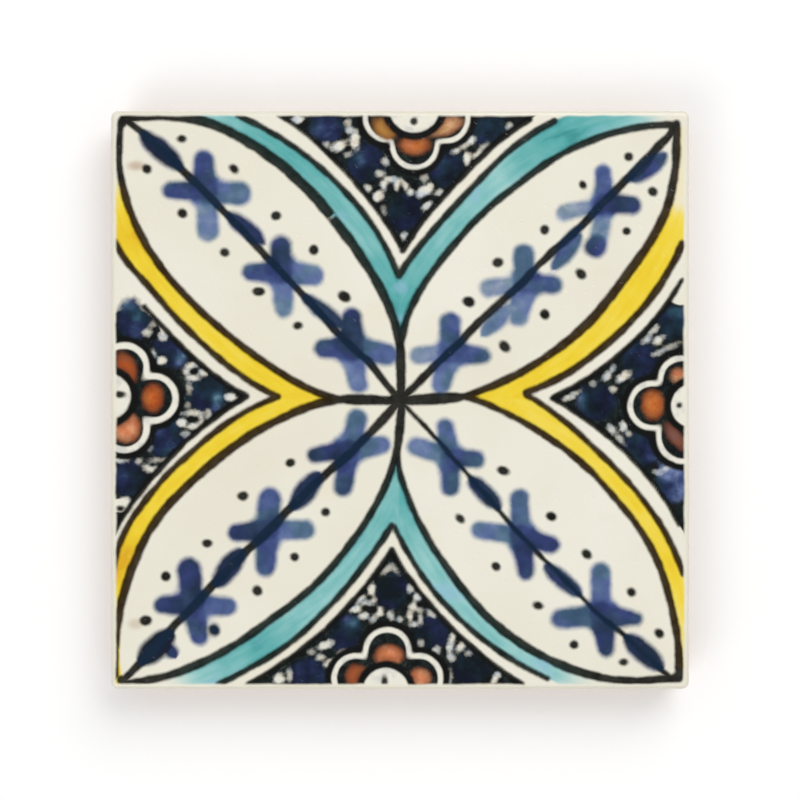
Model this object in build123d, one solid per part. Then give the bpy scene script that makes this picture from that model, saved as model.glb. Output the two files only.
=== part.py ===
from build123d import *

import os
from math import radians, tan

# A square glazed wall and pool tile, pressed and fired as one piece of clay.
# The tile lies on its back. The origin is the centre of the back face, +Z runs out through the
# glazed face, and X and Y run along the sides. All sizes are in millimetres.

# Outline and thickness of the fired tile
TILE_SIDE = 100.0
TILE_THICKNESS = 10.0

# Edges: the glaze rounds the face edge, and the back edge has a small arris
FACE_EDGE_ROUND = 1.0
BACK_ARRIS = 0.4
CORNER_EASE = 0.3  # a corner seen from above is this much rounder than the edges that meet it
SIDE_DRAFT = 2.0  # degrees that each side leans in towards the back, so the tile leaves its die

# Keyed back: a square lattice of ribs with shallow cells between them, which the bed fills
KEY_CELLS = 6  # cells along a side; an even number puts a rib crossing at the centre
KEY_RIB = 4.0
KEY_MARGIN = 6.0  # plain border between the outermost cells and the arris
KEY_DEPTH = 0.9
KEY_DRAFT = 25.0  # degrees that the walls of a cell lean
KEY_FLOOR_RADIUS = 0.8  # corner radius of a cell at its floor

# Sizes that follow from the values above
widest_height = TILE_THICKNESS - FACE_EDGE_ROUND  # the rounded face edge meets the sides here
side_lean = widest_height * tan(radians(SIDE_DRAFT))
face_corner_radius = max(FACE_EDGE_ROUND, side_lean + BACK_ARRIS) + CORNER_EASE
back_side = TILE_SIDE - 2 * (side_lean + BACK_ARRIS)
key_lean = KEY_DEPTH * tan(radians(KEY_DRAFT))
key_cell = (back_side - 2 * KEY_MARGIN - (KEY_CELLS - 1) * KEY_RIB) / KEY_CELLS
key_pitch = key_cell + KEY_RIB


def pressed_body():
    """The blank as it leaves the die: a rounded square that leans in from its face to its back."""
    blank = extrude(RectangleRounded(TILE_SIDE, TILE_SIDE, face_corner_radius), TILE_THICKNESS)
    sides = blank.faces().sort_by(Axis.Z)[1:-1]
    return draft(sides, Plane.XY.offset(widest_height), -SIDE_DRAFT)


def ease_edges(body):
    """Takes the sharp arris off the back and rounds the edge of the glazed face."""
    body = chamfer(body.edges().group_by(Axis.Z)[0], BACK_ARRIS)
    return fillet(body.edges().group_by(Axis.Z)[-1], FACE_EDGE_ROUND)


def key_cells():
    """The shallow tapered cells of the keyed back, as one tool to cut with."""
    mouth = RectangleRounded(key_cell, key_cell, KEY_FLOOR_RADIUS + key_lean)
    cell = extrude(mouth, amount=KEY_DEPTH, taper=KEY_DRAFT)
    return [place * cell for place in GridLocations(key_pitch, key_pitch, KEY_CELLS, KEY_CELLS)]


def glazed_tile():
    """The finished tile, one solid."""
    return ease_edges(pressed_body()) - key_cells()


if __name__ == "__main__":
    os.makedirs("parts", exist_ok=True)
    tile = glazed_tile()
    export_step(tile, "parts/glazed_tile.step")
    print(f"glazed_tile: {tile.bounding_box().size}, {tile.volume / 1000:.1f} cm3")
    print(f"keyed back: cells of {key_cell:.2f} mm, {key_pitch:.2f} mm apart")
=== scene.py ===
# %% [markdown]
# # A hand-painted pool tile
# A pool tile is one square of pressed clay. It is fired, dipped in a cream glaze, painted by brush and
# fired again, so body, glaze and paint become one piece. This lesson builds that one piece as a mesh,
# paints it stroke by stroke with numbers at its vertices, and gives it a glossy material.
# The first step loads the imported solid. It gives the size, and everything else is fitted to it.

# %% Load the solid and measure it
from math import cos, radians, sin, tan

import bmesh
import bpy
import numpy as np
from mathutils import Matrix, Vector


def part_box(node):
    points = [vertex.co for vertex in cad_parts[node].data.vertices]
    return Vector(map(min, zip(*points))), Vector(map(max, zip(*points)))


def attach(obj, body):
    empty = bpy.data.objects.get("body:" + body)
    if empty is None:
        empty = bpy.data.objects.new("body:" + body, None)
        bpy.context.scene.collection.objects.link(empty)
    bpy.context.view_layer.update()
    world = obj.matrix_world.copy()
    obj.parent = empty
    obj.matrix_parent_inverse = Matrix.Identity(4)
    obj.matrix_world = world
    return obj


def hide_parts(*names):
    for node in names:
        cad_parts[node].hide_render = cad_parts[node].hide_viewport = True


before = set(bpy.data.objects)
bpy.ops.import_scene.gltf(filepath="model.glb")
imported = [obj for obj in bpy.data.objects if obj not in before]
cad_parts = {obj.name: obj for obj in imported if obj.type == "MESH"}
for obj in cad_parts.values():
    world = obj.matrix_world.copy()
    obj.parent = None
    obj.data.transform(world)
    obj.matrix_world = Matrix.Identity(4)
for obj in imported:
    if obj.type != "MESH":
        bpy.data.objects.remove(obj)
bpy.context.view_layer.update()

MM = 0.001
low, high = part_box("glazed_tile")
side = high[0] - low[0]
thickness = high[2] - low[2]
print(f"the solid: {side / MM:.2f} mm square, {thickness / MM:.2f} mm thick")

# %% [markdown]
# ## The clay body
# The real body is pressed in a steel die, so its sides lean in a little towards the back, its corners
# are eased, and the glaze rounds its face edge. A cube with a Bevel modifier would round every edge
# alike. Here a plane gets its corners bevelled, is extruded upwards while it widens, and the two rims
# are bevelled by different amounts. The straight sides are first cut into many short edges, because
# the painted face that is joined on later needs as many.

# %% Sizes of the body
SIDE_LEAN = radians(2.0)
FACE_EDGE_ROUND = 1.0 * MM
BACK_ARRIS = 0.4 * MM
CORNER_RADIUS = 1.3 * MM
CORNER_STEPS = 6
FACE_EDGE_STEPS = 6
SIDE_CUTS = (18, 13)
SIDE_STEPS = (SIDE_CUTS[0] + 1) * (SIDE_CUTS[1] + 1)
FACE_STEPS = SIDE_STEPS + CORNER_STEPS
widest_height = thickness - FACE_EDGE_ROUND
back_outline = side - 2 * widest_height * tan(SIDE_LEAN)
face_outline = side + 2 * FACE_EDGE_ROUND * tan(SIDE_LEAN)
print(f"back outline {back_outline / MM:.2f} mm, face outline {face_outline / MM:.2f} mm before rounding")


# %% Helpers that select in edit mode by place, and that finish a closed shape
NEAR = 0.01 * MM


def select(mesh_object, kind, wanted):
    """Selects only the edges or faces that pass the test, and returns how many there are."""
    bpy.ops.mesh.select_all(action="DESELECT")
    bpy.ops.mesh.select_mode(type=kind)
    work = bmesh.from_edit_mesh(mesh_object.data)
    parts = work.edges if kind == "EDGE" else work.faces
    chosen = [part for part in parts if wanted(part)]
    for part in chosen:
        part.select_set(True)
    bmesh.update_edit_mesh(mesh_object.data)
    return len(chosen)


def raise_faces(height):
    """Extrudes what is selected straight up, or down where the height is below zero."""
    bpy.ops.mesh.extrude_region_move(TRANSFORM_OT_translate={"value": (0, 0, height)})


def close_shape():
    """Turns all faces outwards and leaves edit mode."""
    bpy.ops.mesh.select_all(action="SELECT")
    bpy.ops.mesh.normals_make_consistent(inside=False)
    bpy.ops.object.mode_set(mode="OBJECT")


# %% The outline of the back, with eased corners and finely cut sides
bpy.ops.object.select_all(action="DESELECT")
bpy.ops.mesh.primitive_plane_add(size=back_outline)
tile = bpy.context.object
tile.name = "painted_tile"
tile.data.name = "painted_tile"
bpy.ops.object.mode_set(mode="EDIT")
bpy.ops.mesh.bevel(offset=CORNER_RADIUS, segments=CORNER_STEPS, affect="VERTICES")
straight_sides = select(tile, "EDGE", lambda edge: edge.calc_length() > side / 2)
for cuts in SIDE_CUTS:
    bpy.ops.mesh.subdivide(number_cuts=cuts)
outline_edges = select(tile, "EDGE", lambda edge: True)
print(f"{straight_sides} straight sides cut, {outline_edges} edges round the outline")

# %% Extrude to the face and widen it, so that the sides lean
bpy.ops.mesh.select_all(action="SELECT")
raise_faces(thickness)
widening = face_outline / back_outline
bpy.ops.transform.resize(value=(widening, widening, 1))
print(f"the face is {widening:.4f} times as wide as the back")


# %% Round the face edge and take the arris off the back
def at_height(height):
    """A test for edges that lie at this height."""
    return lambda edge: all(abs(corner.co.z - height) < NEAR for corner in edge.verts)


face_rim = select(tile, "EDGE", at_height(thickness))
bpy.ops.mesh.bevel(offset=FACE_EDGE_ROUND, segments=FACE_EDGE_STEPS, profile=0.5, affect="EDGES")
back_rim = select(tile, "EDGE", at_height(0))
bpy.ops.mesh.bevel(offset=BACK_ARRIS, segments=1, affect="EDGES")
print(f"rounded {face_rim} edges at the face and {back_rim} at the back")

# %% Cut the tall sides into rows, which lets them become slightly uneven later
SIDE_ROWS = 4
for row in range(1, SIDE_ROWS):
    height = BACK_ARRIS + (widest_height - BACK_ARRIS) * row / SIDE_ROWS
    bpy.ops.mesh.select_all(action="SELECT")
    bpy.ops.mesh.bisect(plane_co=(0, 0, height), plane_no=(0, 0, 1))
close_shape()
print(f"{len(tile.data.polygons)} faces in the body")

# %% [markdown]
# ## The keyed back
# The back of such a tile has a lattice of ribs. Between the ribs are shallow cells that the adhesive
# fills. The cells could be inset one by one, but they are all alike, so one cell is modelled as a
# cutter, two Array modifiers repeat it over the back, and a Boolean takes them all out at once.

# %% One cell as a cutter
KEY_CELLS = 6
KEY_RIB = 4.0 * MM
KEY_MARGIN = 6.0 * MM
KEY_DEPTH = 0.9 * MM
KEY_DRAFT = radians(25.0)
KEY_FLOOR_RADIUS = 0.8 * MM
KEY_CORNER_STEPS = 4
key_lean = KEY_DEPTH * tan(KEY_DRAFT)
back_side = back_outline - 2 * BACK_ARRIS
key_cell = (back_side - 2 * KEY_MARGIN - (KEY_CELLS - 1) * KEY_RIB) / KEY_CELLS
key_pitch = key_cell + KEY_RIB
first_cell = -key_pitch * (KEY_CELLS - 1) / 2
bpy.ops.object.select_all(action="DESELECT")
bpy.ops.mesh.primitive_plane_add(size=key_cell)
cutter = bpy.context.object
cutter.name = "key_cutter"
bpy.ops.object.mode_set(mode="EDIT")
bpy.ops.transform.translate(value=(first_cell, first_cell, 0))
bpy.ops.mesh.bevel(offset=KEY_FLOOR_RADIUS + key_lean, segments=KEY_CORNER_STEPS, affect="VERTICES")
bpy.ops.mesh.select_all(action="SELECT")
raise_faces(KEY_DEPTH)
floor_share = 1 - 2 * key_lean / key_cell
bpy.ops.transform.resize(
    value=(floor_share, floor_share, 1), center_override=(first_cell, first_cell, KEY_DEPTH)
)
select(cutter, "FACE", lambda face: abs(face.calc_center_median().z) < NEAR)
raise_faces(-KEY_DEPTH)
close_shape()
print(f"a cell is {key_cell / MM:.2f} mm wide and {KEY_DEPTH / MM:.1f} mm deep")

# %% Repeat the cutter and take the cells out of the back
for direction in ((key_pitch, 0, 0), (0, key_pitch, 0)):
    array = cutter.modifiers.new("row of cells", "ARRAY")
    array.count = KEY_CELLS
    array.use_relative_offset = False
    array.use_constant_offset = True
    array.constant_offset_displace = direction
    bpy.ops.object.modifier_apply(modifier=array.name)
bpy.ops.object.select_all(action="DESELECT")
bpy.context.view_layer.objects.active = tile
tile.select_set(True)
cut = tile.modifiers.new("keyed back", "BOOLEAN")
cut.operation = "DIFFERENCE"
cut.solver = "EXACT"
cut.object = cutter
bpy.ops.object.modifier_apply(modifier=cut.name)
bpy.data.objects.remove(cutter)
print(f"{KEY_CELLS * KEY_CELLS} cells cut, {len(tile.data.polygons)} faces now")

# %% [markdown]
# ## The face that takes the paint
# The paint is stored as numbers at the vertices, so the face needs vertices about a third of a
# millimetre apart, a quarter of a brush line. Subdividing the whole body would waste most of them, so
# the one large face is swapped for a fine grid, and the gap to the rounded rim is bridged.

# %% Swap the plain face for a fine grid
FACE_GRID = 97.4 * MM
LEVEL = 0.999
bpy.ops.object.mode_set(mode="EDIT")
select(tile, "FACE", lambda face: face.normal.z > LEVEL and face.calc_area() > side * side / 2)
bpy.ops.mesh.delete(type="ONLY_FACE")
bpy.ops.mesh.select_all(action="DESELECT")
bpy.ops.mesh.primitive_grid_add(
    x_subdivisions=FACE_STEPS, y_subdivisions=FACE_STEPS, size=FACE_GRID, location=(0, 0, thickness)
)
open_edges = select(tile, "EDGE", lambda edge: edge.is_boundary)
bpy.ops.mesh.bridge_edge_loops()
close_shape()
print(f"bridged {open_edges} open edges")

# %% Make the pressed body a little uneven, and only ever inwards
UNEVENNESS = 0.12 * MM
LUMP_SIZE = 22 * MM
TRUE_UP_TO = 1.2 * MM
SHARP_FROM = radians(35)
pressed = bpy.data.textures.new("pressed clay", "CLOUDS")
pressed.noise_scale = LUMP_SIZE
pressed.noise_depth = 1
free_points = tile.vertex_groups.new(name="sides and face")
above_back = [point.index for point in tile.data.vertices if point.co.z > TRUE_UP_TO]
free_points.add(above_back, 1.0, "REPLACE")
uneven = tile.modifiers.new("uneven clay", "DISPLACE")
uneven.texture = pressed
uneven.texture_coords = "LOCAL"
uneven.direction = "NORMAL"
uneven.mid_level = 1.0
uneven.strength = UNEVENNESS
uneven.vertex_group = free_points.name
bpy.ops.object.modifier_apply(modifier=uneven.name)
bpy.data.textures.remove(pressed)
tile.vertex_groups.clear()
bpy.ops.object.shade_smooth_by_angle(angle=SHARP_FROM)
print(f"{len(above_back)} vertices moved, the back stays true")

# %% Measure the mesh: it has to be closed and to face outwards, which makes the volume positive
measured = bmesh.new()
measured.from_mesh(tile.data)
loose_edges = sum(not edge.is_manifold for edge in measured.edges)
triangles = sum(len(face.verts) - 2 for face in measured.faces)
volume = measured.calc_volume(signed=True)
measured.free()
print(f"{triangles} triangles, {loose_edges} open edges, {volume * 1e6:.2f} cm3")

# %% [markdown]
# ## How the paint is stored
# A painter thinks in strokes, so the pattern is written as strokes: points in millimetres from the
# middle of the tile, and a brush width. For every vertex the script works out how far it lies from the
# edge of the nearest stroke, below zero inside it. The material later turns these distances into
# painted edges. An image would hold the same pattern, but it would be a fixed number of dots, and
# distances stay sharp at any size.


# %% Where each vertex lies on the pattern
def read(parts, field, width=1, kind=float):
    """The numbers that the mesh keeps for each of its parts, in one row for each part."""
    numbers = np.empty(len(parts) * width, dtype=kind)
    parts.foreach_get(field, numbers)
    return numbers.reshape(-1, width) if width > 1 else numbers


PATTERN_SCALE = 0.985
FAR = 99.0
places = read(tile.data.vertices, "co", 3) / MM
x = places[:, 0] / PATTERN_SCALE
y = places[:, 1] / PATTERN_SCALE
nowhere = np.full(len(x), FAR)
nothing = np.zeros(len(x))
print(f"{len(x)} vertices take paint")


# %% Helpers for strokes, spots and soft steps
def smooth_step(start, end, value):
    """0 at start, 1 at end, with a soft curve between."""
    share = np.clip((value - start) / (end - start), 0, 1)
    return share * share * (3 - 2 * share)


def run(start, end):
    """How far each vertex lies from the line from start to end, and its share of the way along it."""
    across_x, across_y = end[0] - start[0], end[1] - start[1]
    length = across_x**2 + across_y**2
    share = ((x - start[0]) * across_x + (y - start[1]) * across_y) / length
    share = np.clip(share, 0, 1)
    gap = np.hypot(x - start[0] - share * across_x, y - start[1] - share * across_y)
    return gap, share


def stroke(points, width):
    """Distance to the edge of a brush stroke of one width through these points."""
    edge = nowhere
    for start, end in zip(points, points[1:]):
        edge = np.minimum(edge, run(start, end)[0] - width / 2)
    return edge


def spot(centre, wide, tall=None, turn=0):
    """Distance to the edge of a round spot, or of an oval one, turned by so many degrees."""
    tall = wide if tall is None else tall
    off_x, off_y = x - centre[0], y - centre[1]
    level = off_x * cos(radians(turn)) + off_y * sin(radians(turn))
    upright = off_y * cos(radians(turn)) - off_x * sin(radians(turn))
    return (np.hypot(level / wide, upright / tall) - 0.5) * min(wide, tall)


def nearest_spot(rows):
    """Distance to the nearest of several spots, each given by its middle, width and height."""
    return over(*[spot((place_x, place_y), wide, tall) for place_x, place_y, wide, tall in rows])


def lens(start, end, width):
    """Distance to the edge of a bead that is widest in its middle and pointed at both ends."""
    gap, share = run(start, end)
    return gap - width / 2 * (1 - (2 * share - 1) ** 2) ** 0.5


def over(*edges):
    """The nearest of several edges."""
    return np.minimum.reduce(edges)


def flow_together(one, other, reach):
    """The nearer of two edges, with the corner between them filled as wet paint fills it."""
    share = np.clip(0.5 + (other - one) / (2 * reach), 0, 1)
    return other + (one - other) * share - reach * share * (1 - share)


# %% [markdown]
# ## The interlaced circles
# The pattern is an old one: four circles, each centred on the middle of a side, cross at the middle of
# the tile and leave four petals. The painter drew them freehand, so each quarter arc wanders by a
# millimetre or two. An arc is stored as the radius at a few angles, counted from the middle of the
# tile, 0 degrees, to the corner, 90 degrees. A true circle would look printed.

# %% The eight quarter arcs as the painter drew them
OUTLINE_ANGLES = (0, 6, 12, 18, 24, 30, 36, 42, 48, 54, 60, 66, 72, 78, 84, 88)
ARCS = {
    "top left": {
        "centre": (-50, 0), "start": 0, "turn": 1, "fade": (69, 79), "widths": (1.5, 1.8, 1.6, 0.95, 0.72),
        "outline": (50.1, 50.4, 51.1, 50.8, 50.4, 49.9, 49.7, 49.8,
                    50.1, 50.45, 50.7, 51.1, 51.3, 50.8, 50.0, 49.3),
        "inner": ((23.7, 54.2), (30, 54.55), (36, 54.55), (42, 54.4), (54, 54.3), (66.6, 54.3)),
        "outer": ((27.3, 56.9), (36, 56.8), (45, 56.8), (54, 57.45), (60, 57.7)),
        "wash": (0.9, 0.55, 0.6, 0.72, 0.8, 0.55, 0.4),
    },
    "top right": {
        "centre": (50, 0), "start": 180, "turn": -1, "fade": (71, 90), "widths": (1.2, 1.08, 1.1, 1.05, 1.0),
        "outline": (49.9, 50.3, 51.0, 50.8, 50.1, 49.2, 48.6, 48.3,
                    47.9, 47.7, 48.1, 48.3, 48.4, 48.45, 48.45, 48.1),
        "inner": ((23.4, 54.8), (30, 53.7), (36, 53), (42, 52.6), (48, 52.8), (54, 53.4), (60, 53.8),
                  (64.8, 54)),
        "outer": ((27.9, 56.1), (36, 55.6), (42, 55.3), (48, 55.4), (54, 55.9), (61, 56.3)),
        "wash": (0.85, 0.6, 0.5, 0.36, 0.82, 0.92, 0.7),
    },
    "bottom left": {
        "centre": (-50, 0), "start": 0, "turn": -1, "fade": (70, 83), "widths": (1.22, 1.18, 1.35, 1.0, 0.82),
        "outline": (50.4, 50.4, 50.2, 49.7, 49.1, 48.5, 48.0, 47.8,
                    47.45, 47.1, 47.5, 47.9, 48.5, 49.1, 49.45, 49.7),
        "inner": ((24.3, 53.4), (30, 52.6), (36, 52.3), (45, 52.1), (54, 52.5), (66, 52.6), (70, 53.2)),
        "outer": ((28.8, 55.2), (36, 54.7), (48, 54.5), (60, 54.7), (65, 55.1)),
        "wash": (0.56, 0.52, 0.5, 0.45, 0.85, 0.6, 0.4),
    },
    "bottom right": {
        "centre": (50, 0), "start": 180, "turn": 1, "fade": (64, 84), "widths": (1.05, 1.38, 1.3, 0.92, 0.88),
        "outline": (49.6, 50.6, 51.7, 51.5, 51.4, 51.2, 51.0, 51.2,
                    51.5, 51.5, 51.4, 51.2, 50.9, 50.3, 49.2, 48.6),
        "inner": ((23.4, 55.6), (36, 55.4), (48, 55.0), (63.6, 54.4)),
        "outer": ((27, 57.8), (36, 57.4), (48, 57.1), (60, 57.4)),
        "wash": (0.75, 0.45, 0.35, 0.45, 0.35, 0.25, 0.15),
    },
    "left up": {
        "centre": (0, 50), "start": 270, "turn": -1, "fade": (69, 80), "widths": (1.2, 1.12, 1.2, 1.0, 0.86),
        "outline": (50.2, 50.5, 51.1, 50.7, 49.9, 49.3, 49.0, 48.9,
                    49.1, 49.45, 49.8, 50.1, 50.2, 50.1, 49.6, 48.7),
        "inner": ((23.4, 53.95), (30, 53.6), (36, 53.2), (42, 52.9), (54, 53.1), (58, 53.5), (60, 54.2),
                  (63, 54.6), (66, 54.7)),
        "outer": ((28.5, 56.2), (36, 56.1), (48, 55.6), (53, 56.1)),
        "wash": (0.65, 0.6, 0.5, 0.55, 0.65, 0.85, 0.6),
    },
    "left down": {
        "centre": (0, -50), "start": 90, "turn": 1, "fade": (69, 80), "widths": (1.42, 1.4, 1.45, 1.0, 0.92),
        "outline": (49.7, 50.4, 51.3, 51.4, 51.1, 51.1, 50.9, 50.9,
                    51.1, 51.55, 51.6, 51.2, 51.0, 50.6, 50.4, 49.9),
        "inner": ((23.1, 54.9), (30, 55.1), (42, 54.8), (60, 55.3), (66, 54.7), (69, 53.9), (71, 53.4)),
        "outer": ((27.9, 57.3), (36, 57), (48, 56.6), (62, 56.9)),
        "wash": (0.6, 0.6, 0.6, 0.6, 0.7, 1.0, 0.8),
    },
    "right up": {
        "centre": (0, 50), "start": 270, "turn": 1, "fade": (67, 78), "widths": (1.25, 1.6, 1.4, 1.18, 0.8),
        "outline": (50.2, 50.4, 50.8, 50.2, 50.0, 49.55, 49.4, 49.2,
                    48.8, 48.6, 48.9, 49.4, 49.6, 49.2, 48.7, 48.4),
        "inner": ((24.3, 53.45), (30, 53.9), (42, 54.1), (54, 54.45), (65.4, 54.4)),
        "outer": ((28.5, 56.3), (36, 56.7), (48, 57.1), (54, 57.4), (59.5, 57.2)),
        "wash": (0.6, 0.6, 0.55, 0.55, 0.6, 0.55, 0.3),
    },
    "right down": {
        "centre": (0, -50), "start": 90, "turn": -1, "fade": (72, 92), "widths": (1.05, 1.0, 1.25, 0.95, 0.7),
        "outline": (50.0, 50.8, 52.0, 51.5, 51.0, 50.6, 50.4, 50.2,
                    49.9, 50.0, 50.2, 50.0, 49.6, 49.3, 49.2, 48.9),
        "inner": ((23.4, 55.6), (30, 54.7), (36, 54), (42, 53.5), (60, 53.6), (68.4, 53.3)),
        "outer": ((27.9, 56.9), (54, 56.7), (60, 56.45)),
        "wash": (0.55, 0.48, 0.48, 0.52, 0.5, 0.6, 0.42),
    },
}
WASH_ANGLES = (20, 30, 40, 50, 60, 66, 72)
PRESS_ANGLES = (26, 46, 70)
print(f"{len(ARCS)} quarter arcs")


# %% From an arc's list to a smooth freehand curve
def wander(angle, angles, radii):
    """The radius at each angle, with the corners of the list smoothed out."""
    shifts = (-3, -1.5, 0, 1.5, 3)
    return sum(np.interp(angle + shift, angles, radii) for shift in shifts) / len(shifts)


def arc_line(reach, angle, radius, first, last, width):
    """Distance to the edge of a line along an arc, with round ends."""
    beyond = np.maximum(np.maximum(first - angle, angle - last), 0)
    return np.hypot(reach - radius, np.radians(beyond) * radius) - width / 2


lines = {}
for name, arc in ARCS.items():
    centre_x, centre_y = arc["centre"]
    reach = np.hypot(x - centre_x, y - centre_y)
    bearing = np.degrees(np.arctan2(y - centre_y, x - centre_x))
    angle = (arc["turn"] * (bearing - arc["start"]) + 180) % 360 - 180
    inner_angles, inner_radii = zip(*arc["inner"])
    outer_angles, outer_radii = zip(*arc["outer"])
    outline = wander(angle, OUTLINE_ANGLES, arc["outline"])
    inner = wander(angle, inner_angles, inner_radii)
    outer = wander(angle, outer_angles, outer_radii)
    *outline_widths, inner_width, outer_width = arc["widths"]
    pressed_width = np.interp(angle, PRESS_ANGLES, outline_widths)
    lines[name] = {
        "outline": outline - reach,
        "inner": inner - reach,
        "outer": outer - reach,
        "ink": over(
            arc_line(reach, angle, outline, 0, OUTLINE_ANGLES[-1], pressed_width),
            arc_line(reach, angle, inner, inner_angles[0], inner_angles[-1], inner_width),
            arc_line(reach, angle, outer, outer_angles[0], outer_angles[-1], outer_width),
        ),
        "along": np.radians(angle) * reach,
        "load": np.interp(angle, WASH_ANGLES, arc["wash"]) * (1 - smooth_step(*arc["fade"], angle)),
    }
drawn = over(*[line["ink"] for line in lines.values()])
print(f"{len(lines)} arcs with three lines each, ink on {np.sum(drawn < 0)} vertices")

# %% [markdown]
# ## Bands, strips and spandrels
# Between two petals lies a spandrel, a dark triangle with curved sides. Its V has three lines: the
# petals' outline, an inner line and an outer line. The first gap holds a wash of turquoise above and
# below, and of yellow left and right. The second gap stays cream. A wash is thin colour, so it gets a
# load that fades towards the corners, and a place along and across the stroke for its streaks.

# %% Fill each of the four V shapes
LINES_OF_V = ("outline", "inner", "outer")
STREAK_GAP = 200
SPANDRELS = {
    "top": ("top left", "top right", np.abs(x) - y, x),
    "bottom": ("bottom left", "bottom right", np.abs(x) + y, x),
    "left": ("left up", "left down", np.abs(y) + x, -y),
    "right": ("right up", "right down", np.abs(y) - x, -y),
}
band_edge = {}
ground_edge = nowhere
wash_load = nothing
wash_along = nothing
wash_across = nothing
for name, (first, second, sector, off_axis) in SPANDRELS.items():
    one, other = lines[first], lines[second]
    past = {line: np.maximum.reduce([one[line], other[line], sector]) for line in LINES_OF_V}
    band_edge[name] = np.maximum(past["outline"], -past["inner"])
    ground_edge = over(ground_edge, past["outer"])
    here = sector < 0
    load = np.where(off_axis < 0, one["load"], other["load"])
    wash_load = np.where(here, load, wash_load)
    along = np.where(off_axis < 0, one["along"], other["along"] + STREAK_GAP)
    wash_along = np.where(here, along, wash_along)
    wash_across = np.where(here, past["outline"], wash_across)
turquoise_edge = over(band_edge["top"], band_edge["bottom"])
yellow_edge = over(band_edge["left"], band_edge["right"])
print(f"{np.sum(turquoise_edge < 0)} vertices in turquoise, {np.sum(yellow_edge < 0)} in yellow")

# %% Stray yellow where the brush ran on along the edge
STRAY_SPREAD = 0.3
STRAY_YELLOW = [
    (((-49.9, -38), (-49.7, -46), (-49.2, -49.6)), 1.3, 0.55),
    (((49.4, 37), (49.6, 46.5)), 2.4, 0.15),
    (((49.4, -36), (49.6, -46)), 1.8, 0.24),
]
for points, width, load in STRAY_YELLOW:
    stray = stroke(points, width)
    yellow_edge = over(yellow_edge, stray)
    wash_load = np.where((stray < STRAY_SPREAD) & (wash_load < load), load, wash_load)
print(f"{len(STRAY_YELLOW)} stray strokes")

# %% [markdown]
# ## Spines, flowers, beads and dots
# Each petal has a black spine with three blue flowers on it. A flower is four dabs of a round brush,
# pulled from the spine outwards. The painter dips the brush once for several dabs, so some are dark
# and some are pale. A dab here is a short run with a width and a load, and where two dabs overlap, the
# darker one shows. Beads are single pressed dabs between the flowers.

# %% The four spines. Their distance keeps its sign across the line, so that even a thin one stays smooth
PAST_TIP = 10
NO_WIDTH = -1.0
SPINES = [
    (((-48.8, 49.2), (-45, 46.8), (-37.5, 39.6), (-33.5, 35.8), (-27, 29), (-19.5, 21.2),
      (-11.5, 12.5), (-6, 7), (0, 0)), 1.18),
    (((48.4, 47.8), (47, 46.2), (38.5, 37.5), (30, 29), (20, 19.4), (10, 9.6), (5, 4.8), (0, 0)), 1.28),
    (((-48.3, -49), (-44.5, -45), (-36.5, -36.5), (-28, -27.7), (-19, -18.8), (-8, -8.5), (0, 0)), 1.4),
    (((48, -49), (45.5, -47), (40, -42.2), (36, -38.7), (27.5, -30.2), (20.5, -23), (12.5, -13.9),
      (6.5, -6.9), (0, 0)), 0.7),
]
spine_side = nothing
spine_half = nothing
for points, width in SPINES:
    outward_x, outward_y = np.abs(points[::-1]).T
    tip_x, tip_y = outward_x[-1], outward_y[-1]
    line_y = np.interp(np.abs(x), [*outward_x, tip_x + PAST_TIP], [*outward_y, tip_y + PAST_TIP])
    before_tip = np.abs(x) + np.abs(y) < tip_x + tip_y
    here = (x * points[0][0] >= 0) & (y * points[0][1] >= 0)
    spine_side = np.where(here, stroke(points, 0) * np.sign(np.abs(y) - line_y), spine_side)
    spine_half = np.where(here, np.where(before_tip, width / 2, NO_WIDTH), spine_half)
print(f"{len(SPINES)} spines")

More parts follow.
